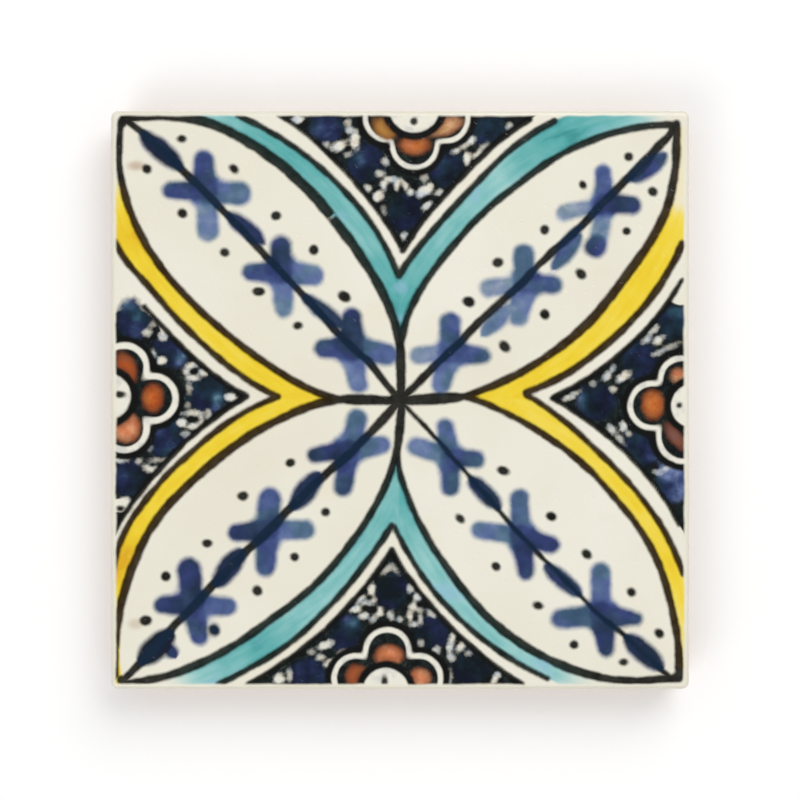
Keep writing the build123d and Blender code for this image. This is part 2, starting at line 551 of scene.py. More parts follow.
# %% The twelve flowers: middle, width of the dark core, then tip, two widths and load of each dab
FLOWERS = [
    ((-34, 36.6), 3.0, [((-34.4, 41.9), 4.2, 3.3, 0.82), ((-40.2, 36.7), 3.8, 2.7, 0.82),
                        ((-28.1, 36.1), 3.6, 3.9, 0.5), ((-33.6, 29.5), 3.4, 3.5, 0.36)]),
    ((-20.8, 22.4), 2.6, [((-20.9, 27), 3.8, 3.4, 0.93), ((-26.2, 22.4), 4.0, 2.7, 0.78),
                          ((-15.2, 21.8), 4.2, 3.4, 0.46), ((-20.3, 15.9), 3.8, 2.9, 0.42)]),
    ((-8.6, 9.2), 2.6, [((-8.4, 14.3), 4.6, 3.3, 1.0), ((-13.4, 9), 4.2, 3.1, 0.8),
                        ((-2.4, 8), 4.0, 3.6, 0.62), ((-7.3, 2.8), 3.6, 3.1, 0.45)]),
    ((35.8, 34.4), 2.6, [((35.5, 39.7), 3.6, 2.6, 0.6), ((40.6, 34.1), 3.5, 3.0, 0.95),
                         ((28.8, 32.8), 2.0, 2.7, 0.27), ((34.8, 28), 2.8, 3.0, 0.28)]),
    ((21.9, 20.4), 1.8, [((21.7, 25.5), 3.4, 3.3, 0.62), ((26.8, 20.2), 3.4, 3.0, 0.72),
                         ((15.6, 19.6), 2.4, 3.0, 0.27), ((20.7, 14.6), 4.6, 3.2, 0.37)]),
    ((8.9, 8.3), 1.6, [((8.8, 13.5), 3.6, 3.4, 0.7), ((14.4, 7.7), 3.8, 2.6, 0.74),
                       ((3.3, 7.8), 2.8, 2.8, 0.29), ((7.2, 2.7), 4.2, 3.2, 0.46)]),
    ((-9, -8.8), 2.6, [((-7.5, -3.4), 3.6, 3.3, 0.56), ((-14.9, -9.6), 3.6, 2.4, 1.0),
                       ((-3.2, -7.8), 4.2, 2.9, 0.54), ((-9.9, -15.3), 3.6, 2.9, 0.82)]),
    ((-23.2, -22.8), 2.2, [((-22.8, -17.4), 3.8, 3.8, 0.69), ((-28.7, -23.2), 3.8, 2.7, 0.98),
                           ((-16.7, -22.7), 3.0, 3.3, 0.5), ((-23.5, -29.2), 4.0, 3.2, 0.76)]),
    ((-36.3, -35.8), 2.6, [((-36.9, -29.8), 4.0, 4.0, 0.98), ((-41.6, -35.9), 4.0, 2.8, 0.95),
                           ((-30.2, -36.2), 4.0, 2.9, 0.6), ((-35.1, -41.2), 4.2, 3.0, 0.8)]),
    ((8.7, -10), 2.0, [((8, -4.7), 3.2, 2.8, 0.58), ((2.9, -8.1), 3.4, 3.0, 0.44),
                       ((13.3, -10.4), 3.0, 2.8, 0.76), ((8.8, -15.3), 3.2, 2.9, 0.74)]),
    ((21.3, -23.8), 2.2, [((20.9, -17.2), 3.2, 3.0, 0.6), ((13.9, -22.8), 3.4, 2.7, 0.48),
                          ((26.5, -25.4), 3.8, 2.7, 0.9), ((22.1, -30.1), 4.0, 2.6, 0.94)]),
    ((35.3, -37.7), 2.4, [((35.1, -30.2), 3.2, 3.2, 0.56), ((28.1, -38.3), 3.8, 3.2, 0.71),
                          ((41.4, -38.3), 4.6, 2.0, 0.86), ((36.1, -43.5), 4.6, 2.7, 0.97)]),
]
print(f"{sum(len(arms) for middle, core_width, arms in FLOWERS)} dabs in {len(FLOWERS)} flowers")

# %% Lay the dabs down
dab_edge = nowhere
dab_load = nothing
CORE_LENGTH, CORE_LOAD = 8.6, 0.2
ARM_SPREAD = 0.22
BASE_LOAD, TIP_GAIN = 0.86, 0.2
LONE_DAB = ((34.2, 26.8), 4.0)


def press(edge, load, softness=0.6, filling=0.5):
    """One dab of the brush. Where it meets another, the darker one shows and the corners fill."""
    global dab_edge, dab_load
    cover = smooth_step(2 * softness, -softness, edge)
    dab_load = np.maximum(dab_load, cover * load)
    dab_edge = flow_together(dab_edge, edge, filling)


for middle, core_width, arms in FLOWERS:
    for tip, base_width, tip_width, load in arms:
        gap, share = run(middle, tip)
        edge = gap - (base_width + (tip_width - base_width) * share) / 2 - ARM_SPREAD
        press(edge, load * (BASE_LOAD + TIP_GAIN * smooth_step(0, 0.5, share)), softness=0.8, filling=1.5)
for middle, core_width, arms in FLOWERS:
    along_spine = np.array(middle) / np.hypot(*middle) * CORE_LENGTH / 2
    core = lens(middle - along_spine, middle + along_spine, core_width)
    dab_load = dab_load + CORE_LOAD * smooth_step(1.8, -1.2, core) * (dab_edge < 0.5)
press(spot(*LONE_DAB), 0.92)
print(f"{np.sum(dab_edge < 0)} vertices under the dabs, load up to {dab_load.max():.2f}")

# %% Beads on the spines: two ends, width and load
BEADS = [
    ((-45.6, 47), (-38, 40.3), 3.7, 1.35), ((-30.4, 32.9), (-23.6, 27.2), 3.2, 1.1),
    ((-17.1, 18.4), (-9.6, 12.5), 3.1, 1.05),
    ((46.8, 43.3), (40.4, 38.2), 3.5, 0.9), ((44.4, 42.6), (39.6, 38.2), 2.0, 1.2),
    ((31.8, 29.2), (26.6, 22.8), 3.1, 0.7), ((32, 30.6), (27.6, 26.4), 1.8, 0.95),
    ((19.8, 16.7), (14.2, 11.2), 3.2, 0.42),
    ((-14, -12.6), (-19, -19.2), 3.9, 1.15), ((-27.4, -26), (-32.6, -32.8), 3.9, 1.25),
    ((-39.6, -40.4), (-45.8, -46.2), 4.4, 1.5), ((-41, -42.6), (-39.2, -45.2), 2.6, 1.1),
    ((12, -13.4), (17.7, -19.2), 3.2, 1.15), ((25.2, -28.8), (31.8, -34.3), 3.2, 1.05),
    ((39.2, -41.2), (46.2, -47.2), 3.9, 1.25),
]
ROUND_BEAD = ((-32.6, -40.3), 2.1, 2.4)
BEAD_SOFTNESS = 0.35
for start, end, width, load in BEADS:
    press(lens(start, end, width), load, softness=BEAD_SOFTNESS)
press(spot(*ROUND_BEAD), 1.3, softness=BEAD_SOFTNESS)
print(f"{len(BEADS)} beads")

# %% Dots beside the flowers: place and width
DOTS = [
    (-38.2, 45.7, 1.46), (-29.1, 40.5, 1.41), (-21.7, 32.3, 1.53), (-15.1, 26.3, 1.63), (-9.7, 18.1, 1.77),
    (-44.3, 40.4, 1.53), (-38.1, 32.6, 1.55), (-30.7, 25.8, 1.55), (-24.7, 19, 1.66), (-17.9, 13, 1.41),
    (40, 42.6, 1.51), (32, 37.7, 1.23), (25.3, 29.8, 1.39), (17.1, 24.1, 1.61), (12, 17.2, 1.83),
    (44.2, 36.5, 1.55), (39.7, 29.5, 1.27), (31.7, 22.1, 1.73), (25.4, 15, 1.61), (18.3, 9.3, 1.83),
    (-19.2, -11, 1.35), (-27.5, -16.8, 1.57), (-33.8, -25.1, 1.53), (-41, -30.9, 1.55), (-44.5, -38.6, 1.81),
    (-13, -19.6, 1.43), (-18.4, -27.5, 1.45), (-25, -33.4, 1.71), (-32.5, -40.3, 1.53),
    (18.1, -12.4, 1.61), (26.5, -20.4, 1.55), (32.7, -27, 1.57), (40.5, -33.7, 1.51), (45.4, -40.8, 1.45),
    (10.5, -20.7, 1.61), (16.8, -29.1, 1.41), (24.2, -36, 1.49), (30.5, -42.9, 1.31), (39.1, -45.9, 1.27),
]
SEED = 7
hand = np.random.default_rng(SEED)
dot_edge = nowhere
for place_x, place_y, width in DOTS:
    stretch = hand.uniform(1.0, 1.18)
    lean = hand.uniform(-60, 10)
    dot_edge = over(dot_edge, spot((place_x, place_y), width * stretch, width / stretch, lean))
print(f"{len(DOTS)} dots")

# %% [markdown]
# ## Half rosettes and the dark spandrels
# At the middle of each side sits half a rosette, cut by the edge of the tile. It has three lobes
# with a cream rim and rust petals round a cream eye. Round it the spandrel is scribbled black, with
# navy dabs, and with flecks of bare cream glaze that the brush left open.

# %% Rosettes: eye, dot in the eye, width of the rim, lobes, and rust petals with a turn and a load
ROSETTES = [
    {"eye": ((2.5, 51.3), 9.2), "dot": ((2.4, 48.8), 1.2, 1.2), "rim": 0.95,
     "lobes": [((-2.2, 49.4), 8.8), ((2.6, 44.6), 8.8), ((7.9, 49.3), 9.0)],
     "rust": [((-2.8, 47.5), 4.8, 3.2, -42, -0.1), ((2.5, 44.6), 5.3, 3.4, 0, 0.46),
              ((8.1, 47.9), 6.2, 3.0, 22, 0.14)]},
    {"eye": ((-2.5, -50.9), 8.2), "dot": ((-2.7, -49.2), 1.0, 1.9), "rim": 1.05,
     "lobes": [((-7.6, -48.7), 9.0), ((-2.2, -44.0), 8.75), ((3.2, -48.7), 9.0)],
     "rust": [((-7.5, -48.4), 4.2, 4.2, 0, 0.82), ((-1.9, -44.7), 5.2, 3.7, 0, 0.34),
              ((3.5, -48.7), 4.0, 3.6, 0, 0.28)]},
    {"eye": ((-51.2, 0.6), 8.4), "dot": ((-49.1, 1.0), 1.9, 1.0), "rim": 1.2,
     "lobes": [((-48.3, 5.6), 9.2), ((-43.2, 0.3), 9.1), ((-48.2, -4.9), 9.0)],
     "rust": [((-47.9, 5.7), 3.4, 5.6, 24, 0.76), ((-43.3, 0.4), 3.7, 4.9, 0, 0.6),
              ((-48.0, -4.8), 5.2, 5.2, 0, 0.3)]},
    {"eye": ((51.4, -1), 8.0), "dot": ((48.9, -0.9), 0.9, 0.9), "rim": 1.05,
     "lobes": [((49.3, 3.6), 8.6), ((44.2, -1), 8.95), ((49.6, -6.4), 9.8)],
     "rust": [((48.8, 4.3), 3.0, 2.7, 0, 0.22), ((44.3, -0.8), 4.0, 5.3, 0, 0.52),
              ((48.1, -6.4), 2.3, 5.2, 36, 0.97)]},
]
RIM_OUTLINE = 0.9
EYE_OUTLINE = 1.0
LOBE_FILLING, HEART_FILLING = 0.7, 2.0
RUST_SPREAD = 0.5
rosette_edge = nowhere
rosette_rim = nowhere
eye_edge = nowhere
eye_ink = nowhere
rust_edge = nowhere
rust_load = nothing
for rosette in ROSETTES:
    eye = spot(*rosette["eye"])
    whole = eye
    heart = eye - EYE_OUTLINE
    for lobe in rosette["lobes"]:
        whole = flow_together(whole, spot(*lobe), LOBE_FILLING)
        heart = flow_together(heart, spot(*lobe) + rosette["rim"], HEART_FILLING)
    rosette_edge = over(rosette_edge, whole)
    rosette_rim = over(rosette_rim, np.maximum(whole, -heart))
    eye_edge = over(eye_edge, eye)
    eye_ink = over(eye_ink, np.abs(eye - EYE_OUTLINE / 2) - EYE_OUTLINE / 2, spot(*rosette["dot"]))
    for *shape, load in rosette["rust"]:
        petal = spot(*shape)
        rust_edge = over(rust_edge, petal)
        rust_load = np.where(petal < RUST_SPREAD, load, rust_load)
rosette_ink = np.abs(rosette_edge - RIM_OUTLINE / 2) - RIM_OUTLINE / 2
rust_edge = np.maximum(rust_edge, EYE_OUTLINE - eye_edge)
print(f"{len(ROSETTES)} half rosettes")

# %% Navy dabs in the spandrels: middle, width, height and load
NAVY_DABS = [
    (-12.8, 47.7, 6.5, 5.0, 0.7), (-6, 41.5, 6.0, 6.5, 0.75), (0.8, 33, 6.0, 6.5, 0.9),
    (8.3, 40.4, 6.5, 6.5, 0.85), (15.7, 47.4, 6.0, 5.0, 0.7),
    (-16, -48, 6.5, 5.5, 0.75), (-9.3, -41, 6.0, 6.5, 0.8), (-1.2, -33.5, 6.0, 6.5, 0.95),
    (5.7, -40.5, 6.0, 6.0, 0.8), (12.5, -46.8, 6.5, 6.5, 1.0),
    (-46.5, 14.5, 6.0, 7.2, 0.72), (-40, 8.7, 6.5, 6.0, 0.8), (-34, 1, 6.5, 6.5, 0.8),
    (-40.4, -7, 6.5, 6.5, 0.68), (-47.4, -13.8, 6.0, 6.5, 0.85),
    (47.8, 14, 5.5, 7.0, 0.75), (42, 7.3, 6.5, 6.5, 0.78), (34.5, -0.3, 6.5, 6.5, 0.85),
    (42.5, -8, 6.5, 6.5, 0.72), (47.8, -14, 5.5, 7.5, 0.62),
]
navy_edge = nowhere
navy_load = nothing
NAVY_SPREAD = 0.6
for place_x, place_y, wide, tall, load in NAVY_DABS:
    dab = spot((place_x, place_y), wide, tall)
    navy_edge = over(navy_edge, dab)
    navy_load = np.where(dab < NAVY_SPREAD, load, navy_load)
PALE_ENDS = [
    (-31.6, -0.4, 2.6, 3.4, 0.6), (31.2, 0.2, 2.4, 3.4, 0.55), (47.2, -12.6, 4.0, 3.0, 0.55),
    (48.6, -16.5, 2.4, 4.0, 0.4), (-38.2, 6.8, 2.2, 3.6, 0.5), (-46.2, 13.4, 1.8, 4.6, 0.3),
    (-48.4, 17, 3.2, 2.6, 0.35), (-42.6, -5.2, 2.6, 2.2, 0.35), (-48.8, -13, 2.0, 4.6, 0.25),
    (-13.6, 47.2, 3.4, 1.8, 0.3), (-6.6, 42.4, 2.2, 2.6, 0.35), (7.2, 41.2, 2.6, 1.8, 0.35),
    (-1.4, -29.6, 1.8, 2.2, 0.5), (-8.2, -38.6, 3.4, 2.0, 0.45), (44.2, -10.4, 3.0, 1.8, 0.35),
    (48.2, 15.4, 2.6, 2.0, 0.4),
]
for place_x, place_y, wide, tall, load in PALE_ENDS:
    navy_load = navy_load - load * smooth_step(1.2, -0.8, spot((place_x, place_y), wide, tall))
print(f"{len(NAVY_DABS)} navy dabs and {len(PALE_ENDS)} pale ends")

# %% Flecks of open glaze above and below: middle, width, height, turn, and how bare the glaze is
FLECKS = [
    (-18, 49.1, 2.2, 1.2, 20, 1.0), (-9.2, 48.5, 1.0, 1.3, 0, 0.6), (-8.9, 47.2, 1.1, 1.1, 0, 0.85),
    (-7.9, 45.5, 1.5, 2.9, 0, 1.0), (-10.7, 44.5, 2.7, 1.4, 25, 1.0), (-9.2, 43, 1.0, 0.8, 0, 0.5),
    (-13, 44.6, 1.1, 1.1, 0, 0.6), (-2.5, 41.8, 1.2, 1.5, 0, 0.75), (-3.5, 39.6, 1.3, 1.0, 0, 0.7),
    (-5.7, 37, 1.1, 1.2, 0, 0.75), (-2.7, 37.7, 1.3, 1.5, 0, 1.0), (-1.5, 38.7, 2.0, 0.9, 0, 0.85),
    (-0.5, 37.7, 0.9, 1.6, 0, 0.9), (0.8, 37.6, 1.0, 1.6, 35, 0.9), (1.8, 36.4, 0.9, 1.0, 0, 0.9),
    (-3.8, 35.6, 1.7, 1.7, 0, 1.0), (-2.9, 33, 0.9, 1.4, 0, 0.4), (4.3, 36.6, 2.3, 1.6, 20, 1.0),
    (3.5, 36, 1.0, 1.2, 0, 0.95), (5.3, 37.3, 0.9, 1.2, 0, 0.85), (4.8, 33.9, 1.8, 1.1, 40, 0.85),
    (4.2, 38.9, 1.2, 1.3, 0, 0.5), (6.9, 36.3, 1.2, 0.9, 0, 0.75), (9.8, 43.7, 1.3, 0.8, 25, 0.9),
    (11.2, 44.5, 1.4, 0.7, 30, 0.7), (12.5, 45.5, 1.4, 1.2, 30, 1.0), (11.8, 42.3, 1.2, 1.8, 0, 1.0),
    (13.7, 43.2, 1.8, 0.9, 40, 0.85), (14.9, 44.5, 1.2, 0.7, 30, 0.5), (19.2, 47.8, 1.0, 1.2, 0, 0.7),
    (0.8, 28.7, 1.1, 1.3, 0, 0.8),
    (-2.4, -29.7, 1.7, 0.8, 45, 0.6), (-1, -29.5, 1.5, 0.7, -50, 0.55), (1.8, -33, 1.1, 1.3, 0, 0.75),
    (-5, -33.1, 1.1, 2.1, 0, 0.95), (-7, -34.9, 1.6, 0.9, 20, 0.9), (-4.7, -35, 0.9, 1.1, 0, 0.75),
    (-5.9, -35.5, 1.6, 0.7, 0, 0.85), (-7.8, -36.6, 1.9, 1.2, 15, 0.95), (-6.3, -37.8, 1.4, 1.1, 0, 0.9),
    (-3.6, -37.1, 1.1, 1.5, -30, 0.95), (-4.7, -38.4, 1.1, 0.9, 40, 0.75), (-1.6, -37.7, 1.0, 1.4, 0, 0.75),
    (0, -38.4, 0.9, 0.9, 0, 0.65), (3.1, -34.5, 1.2, 1.3, 0, 0.95), (2.3, -36.1, 1.0, 1.4, -20, 0.9),
    (1.8, -37.7, 0.9, 1.6, 0, 0.95), (2.6, -39.3, 1.4, 0.8, 0, 0.8), (3.6, -38, 0.7, 1.5, 0, 0.7),
    (3.3, -36.8, 1.0, 0.6, 0, 0.6), (5.6, -37.4, 1.6, 1.1, -30, 0.65), (9.2, -41.8, 0.9, 1.9, -15, 0.95),
    (8.7, -43.5, 0.9, 1.7, 0, 0.95), (9, -45, 0.9, 1.4, 10, 0.8), (10.6, -43.3, 0.9, 1.8, -40, 0.95),
    (12, -44.3, 1.0, 0.8, 40, 0.6), (6.3, -44, 1.3, 1.5, -20, 0.75), (3.5, -42.6, 1.1, 1.4, 0, 0.5),
    (-13, -42.9, 2.3, 1.2, 20, 0.95), (-13.9, -45.1, 1.3, 1.0, 0, 0.75), (-12.2, -46, 1.8, 1.0, 30, 0.9),
    (-15.5, -44.1, 1.0, 0.8, 0, 0.5), (-10.3, -44.1, 1.0, 0.6, 30, 0.5), (-19.3, -48.1, 0.8, 1.6, 0, 0.7),
    (-21.2, -48.8, 1.8, 1.7, 0, 1.0), (16.8, -48.6, 1.0, 1.8, -30, 1.0), (8.6, -48.6, 0.8, 2.3, 0, 0.6),
]
print(f"{len(FLECKS)} flecks above and below")

# %% Flecks of open glaze left and right
FLECKS += [
    (-44.3, 11.8, 1.4, 1.1, 0, 0.75), (-43.2, 13.3, 1.8, 0.8, 40, 0.45), (-41.5, 11.1, 1.4, 1.3, 0, 0.85),
    (-43.3, 8, 0.9, 1.3, 0, 0.7), (-41.7, 6.9, 1.5, 1.3, 0, 1.0), (-36.5, 6, 1.6, 0.9, 20, 0.85),
    (-37.3, 5, 0.9, 1.4, 0, 0.9), (-36.2, 3.9, 1.8, 0.8, 0, 0.9), (-34.5, 4.8, 1.3, 1.1, 0, 0.85),
    (-36.9, 2.2, 0.9, 1.8, 0, 0.55), (-37.2, -1, 0.8, 0.9, 0, 0.4), (-29.6, 0.5, 1.8, 1.2, 0, 1.0),
    (-36.3, -2.3, 2.6, 0.8, 0, 0.9), (-36, -4.6, 2.4, 0.9, 0, 0.9), (-38.2, -4, 1.4, 1.3, 0, 1.0),
    (-34.9, -3.3, 0.7, 1.6, 0, 0.8), (-33.5, -2.6, 0.9, 1.4, 0, 0.6), (-37.5, -6, 1.3, 1.0, 0, 0.55),
    (-42.2, -10.5, 2.4, 0.6, 0, 0.55), (-43.6, -12.1, 2.5, 0.9, -15, 0.9), (-45.7, -10.7, 1.1, 0.8, 0, 0.6),
    (-49.3, -10.6, 2.0, 0.7, 0, 0.8), (-48.2, -17.7, 1.8, 1.3, 0, 0.9), (-43.8, -8.5, 0.9, 0.9, 0, 0.35),
    (45.3, 10.5, 1.8, 1.0, 25, 0.95), (43.2, 10.6, 0.9, 1.6, -40, 0.85), (44.4, 12.2, 1.7, 0.9, 50, 0.7),
    (45.2, 8.2, 1.4, 0.7, 20, 0.8), (47.4, 9.3, 2.6, 0.7, 20, 0.6), (36.3, 4.3, 0.9, 1.7, -35, 0.9),
    (37.3, 5.6, 0.8, 1.0, 0, 0.55), (39.1, 4.1, 2.3, 1.2, 30, 1.0), (37.3, 1.9, 1.1, 1.1, 0, 0.75),
    (33.8, 2.9, 1.1, 0.9, 0, 0.4), (29.9, 0.6, 2.4, 0.8, 30, 0.85), (37, -5.1, 1.1, 1.6, 40, 0.8),
    (38.4, -6.7, 2.0, 0.8, -45, 0.6), (39.1, -4.6, 1.1, 1.5, 0, 0.95), (40, -5.9, 0.9, 0.7, 0, 0.6),
    (45.2, -12.6, 1.3, 0.8, 0, 0.7), (46.6, -11.9, 1.4, 0.8, 40, 0.7),
]
fleck_edge = nowhere
fleck_bare = nothing
FLECK_GROWTH = 0.06
FLECK_FILLING = 0.35
for place_x, place_y, wide, tall, turn, bare in FLECKS:
    fleck = spot((place_x, place_y), wide, tall, turn) - FLECK_GROWTH
    fleck_edge = flow_together(fleck_edge, fleck, FLECK_FILLING)
    fleck_bare = np.maximum(fleck_bare, bare * smooth_step(0.7, 0.1, fleck))
print(f"{len(FLECKS)} flecks in all")

# %% Black touches on the flecks
TOUCHES = [
    (-9.7, 46.2, 1.0, 1.0), (-9, 44.1, 0.9, 0.9), (-16.5, 48.5, 1.2, 1.1), (-1.9, 37.3, 0.8, 1.2),
    (0.2, 36.9, 0.8, 1.2), (-3.1, 34.6, 1.0, 0.8), (4.7, 35.3, 1.3, 0.8), (13, 43.7, 0.9, 0.8),
    (-5.4, -34.5, 1.1, 0.8), (-6.2, -36.4, 1.3, 0.8), (-4.6, -36.8, 1.0, 0.8), (2.7, -38.2, 0.8, 0.9),
    (3.3, -35.8, 1.0, 0.8), (1.7, -34.7, 1.0, 0.8), (-36, 5, 0.9, 0.8), (-36.2, -3.4, 1.6, 0.6),
    (-48.9, -19, 1.4, 1.0),
]
touch_edge = nearest_spot(TOUCHES)
print(f"{len(TOUCHES)} touches")

# %% Blots where the lines meet: at the middle and at the petals' tips
BLOTS = [
    (-0.2, 0.1, 3.3, 3.3), (-48.6, 48.6, 1.7, 1.9), (47.9, 47.4, 1.8, 2.0), (-48.7, -49, 1.6, 1.6),
    (48.7, -48.4, 1.7, 2.0), (48.9, -46.8, 1.5, 2.2),
]
blot_edge = nearest_spot(BLOTS)
print(f"{len(BLOTS)} blots")

# %% Corners of the spandrels that the dark paint leaves open
OPEN_CORNERS = [(((52, 19.2), (49.2, 19.2)), 5.2), (((-50.5, -18.6), (-48.4, -18.4)), 2.2)]
for points, width in OPEN_CORNERS:
    ground_edge = np.maximum(ground_edge, -stroke(points, width))
NAVY_MARGIN = 0.3
navy_edge = np.maximum(navy_edge, ground_edge + NAVY_MARGIN)
ROUND_END = ((-47.1, 10.4), 11.0)
at_round_end = (x < -40) & (y > 11)
ground_edge = np.where(at_round_end, np.maximum(ground_edge, spot(*ROUND_END)), ground_edge)
print(f"{len(OPEN_CORNERS)} open corners and a round end, {np.sum(ground_edge < 0)} dark vertices")

# %% Put the layers in order: rosettes cover dabs and flecks, and flecks cover dabs
clear_of_rosette = RIM_OUTLINE - rosette_edge
navy_edge = np.maximum(navy_edge, clear_of_rosette)
fleck_edge = np.maximum(fleck_edge, clear_of_rosette)
ground_edge = over(ground_edge, rosette_edge - RIM_OUTLINE)
rosette_rim = np.maximum(rosette_rim, -eye_edge)
rim_edge = over(rosette_rim, eye_edge)
NICK = ((-11.6, 32.3), 1.1, 0.42, 40)
line_edge = np.maximum(drawn, -spot(*NICK))
ink_edge = over(line_edge, dot_edge, eye_ink, touch_edge, blot_edge, rosette_ink)
print(f"{np.sum(ink_edge < 0)} vertices in black, {np.sum(rim_edge < 0)} in the cream of the rosettes")

# %% Brown smudges that the brush left beside two dots
SMUDGES = [(-46.2, 41, 3.0, 1.6, 0.5), (-46.3, -39.2, 2.6, 1.8, 0.3)]
smudge_load = nothing
for place_x, place_y, wide, tall, load in SMUDGES:
    smudge = spot((place_x, place_y), wide, tall)
    smudge_load = np.maximum(smudge_load, load * smooth_step(0.5, -0.6, smudge))
print(f"{len(SMUDGES)} smudges")

# %% Store every layer on the mesh
LOWEST, HIGHEST = -60, 400
LAYERS = {
    "turquoise_edge": turquoise_edge, "yellow_edge": yellow_edge, "wash_load": wash_load,
    "wash_along": wash_along, "wash_across": wash_across, "dab_edge": dab_edge, "dab_load": dab_load,
    "ground_edge": ground_edge, "navy_edge": navy_edge, "navy_load": navy_load,
    "fleck_edge": fleck_edge, "fleck_bare": fleck_bare, "rim_edge": rim_edge, "rust_edge": rust_edge,
    "rust_load": rust_load, "ink_edge": ink_edge, "smudge_load": smudge_load,
    "spine_side": spine_side, "spine_half": spine_half,
}
for name, numbers in LAYERS.items():
    layer = tile.data.attributes.new(name, "FLOAT", "POINT")
    layer.data.foreach_set("value", np.clip(numbers, LOWEST, HIGHEST).astype(np.float32))
print(f"{len(LAYERS)} layers of paint on {len(x)} vertices")

# %% [markdown]
# ## A flat map for the export
# A renderer that can't read these nodes needs the paint on a picture, and that takes a flat map of the
# surface. An automatic unwrap would give the plain back as much room as the painted face. This one is
# laid out part by part: the face takes most of the square, the four sides lie beside it at the same
# scale, and the back is small in the corner.

# %% Lay out the face, the sides and the back
MAP_SCALE = 0.0080
MAP_EDGE = 0.006
FACE_ROOM = 0.814
SIDE_ROOM = 0.088
SIDE_SCALE = 0.0078
BACK_SCALE = 0.00172
FACING_UP, FACING_DOWN, STEEP = 0.6, -0.4, 0.7
MID_HEIGHT, CELL_TOP, CELL_INSET = 5, 0.95, 3
half_side = side / MM / 2
flat_map = tile.data.uv_layers.new(name="OFBake")
face_normal = read(tile.data.polygons, "normal", 3)
face_height = read(tile.data.polygons, "center", 3)[:, 2] / MM
corner_count = read(tile.data.polygons, "loop_total", kind=np.int32)
point = places[read(tile.data.loops, "vertex_index", kind=np.int32)]
normal_x, normal_y, normal_z = np.repeat(face_normal, corner_count, axis=0).T
height = np.repeat(face_height, corner_count)
on_face = (normal_z > FACING_UP) & (height > MID_HEIGHT)
from_middle = np.maximum(np.abs(point[:, 0]), np.abs(point[:, 1]))
in_cell = (height < CELL_TOP) & (np.abs(normal_z) < STEEP) & (from_middle < half_side - CELL_INSET)
on_back = (normal_z < FACING_DOWN) | in_cell
along_x = np.abs(normal_y) >= np.abs(normal_x)
forward = np.where(along_x, normal_y, normal_x) > 0
level = np.where(along_x, point[:, 0], point[:, 1])
strip = MAP_EDGE + FACE_ROOM + forward * SIDE_ROOM + point[:, 2] * SIDE_SCALE
lengthwise = MAP_EDGE + (level + half_side) * MAP_SCALE
flat = np.stack([np.where(along_x, lengthwise, strip), np.where(along_x, strip, lengthwise)], axis=1)
flat[on_face] = MAP_EDGE + (point[on_face, :2] + half_side) * MAP_SCALE
flat[on_back] = MAP_EDGE + FACE_ROOM + (point[on_back, :2] + half_side) * BACK_SCALE
flat_map.data.foreach_set("uv", flat.ravel().astype(np.float32))
print(f"the map runs from {flat.min():.3f} to {flat.max():.3f}")

# %% [markdown]
# ## Node helpers
# A material is a tree of nodes. Written out one by one it would be hundreds of lines, so a few short
# helpers add a node, set its values and link it. They hold no looks of their own. Each helper works on
# the tree that is in hand, which is always called tree.


# %% Helpers that add and link nodes
def add_node(kind, inputs=None, **settings):
    """Adds a node to the tree in hand. An input is a plain value or the socket that feeds it."""
    made = tree.nodes.new(kind)
    for name, setting in settings.items():
        setattr(made, name, setting)
    for name, feed in (inputs or {}).items():
        if isinstance(feed, bpy.types.NodeSocket):
            tree.links.new(feed, made.inputs[name])
        else:
            made.inputs[name].default_value = feed
    return made


def empty_tree(owner):
    """The node tree of a material or a world, with nothing in it yet."""
    owner.use_nodes = True
    owner.node_tree.nodes.clear()
    return owner.node_tree


def new_group(name, inputs, outputs):
    """An empty node group with named sockets, and its two ends."""
    group = bpy.data.node_groups.new(name, "ShaderNodeTree")
    for end, sockets in (("INPUT", inputs), ("OUTPUT", outputs)):
        for socket, kind in sockets.items():
            group.interface.new_socket(socket, in_out=end, socket_type=kind)
    return group, group.nodes.new("NodeGroupInput"), group.nodes.new("NodeGroupOutput")


def millimetres():
    """The place on the piece in millimetres."""
    place = add_node("ShaderNodeTexCoord").outputs["Object"]
    scaled = add_node("ShaderNodeVectorMath", {0: place, "Scale": 1 / MM}, operation="SCALE")
    return scaled.outputs["Vector"]


def layer_value(name):
    """A layer of paint that is stored on the mesh."""
    return add_node("ShaderNodeAttribute", attribute_name=name).outputs["Fac"]


# %% Helpers that count with values
def maths(operation, first, second=0.0):
    """One sum with one or two values."""
    return add_node("ShaderNodeMath", {0: first, 1: second}, operation=operation).outputs[0]


def plus(first, second):
    """One value added to another."""
    return maths("ADD", first, second)


def minus(first, second):
    """One value less another."""
    return maths("SUBTRACT", first, second)


def times(first, second):
    """One value times another."""
    return maths("MULTIPLY", first, second)


def varied(value, noise, amount):
    """A value that noise moves up and down, over a range of this amount."""
    return plus(value, times(minus(noise, 0.5), amount))


def rescale(value, from_low, from_high, to_low=0.0, to_high=1.0, soft=False):
    """Moves a value from one range to another and keeps it inside."""
    feeds = {"Value": value, "From Min": from_low, "From Max": from_high, "To Min": to_low, "To Max": to_high}
    curve = "SMOOTHSTEP" if soft else "LINEAR"
    return add_node("ShaderNodeMapRange", feeds, interpolation_type=curve).outputs["Result"]


def grain(size, detail=2.0, rough=0.5, twist=0.0, place=None):
    """Noise whose lumps are about this many millimetres wide."""
    place = where if place is None else place
    feeds = {"Vector": place, "Scale": 1 / size, "Detail": detail, "Roughness": rough, "Distortion": twist}
    return add_node("ShaderNodeTexNoise", feeds).outputs["Fac"]


# %% Helpers that mix colours. The mix node has sockets for each kind of value, and these are for colours
SHARE, UNDER, TOP, MIXED = 0, 6, 7, 2


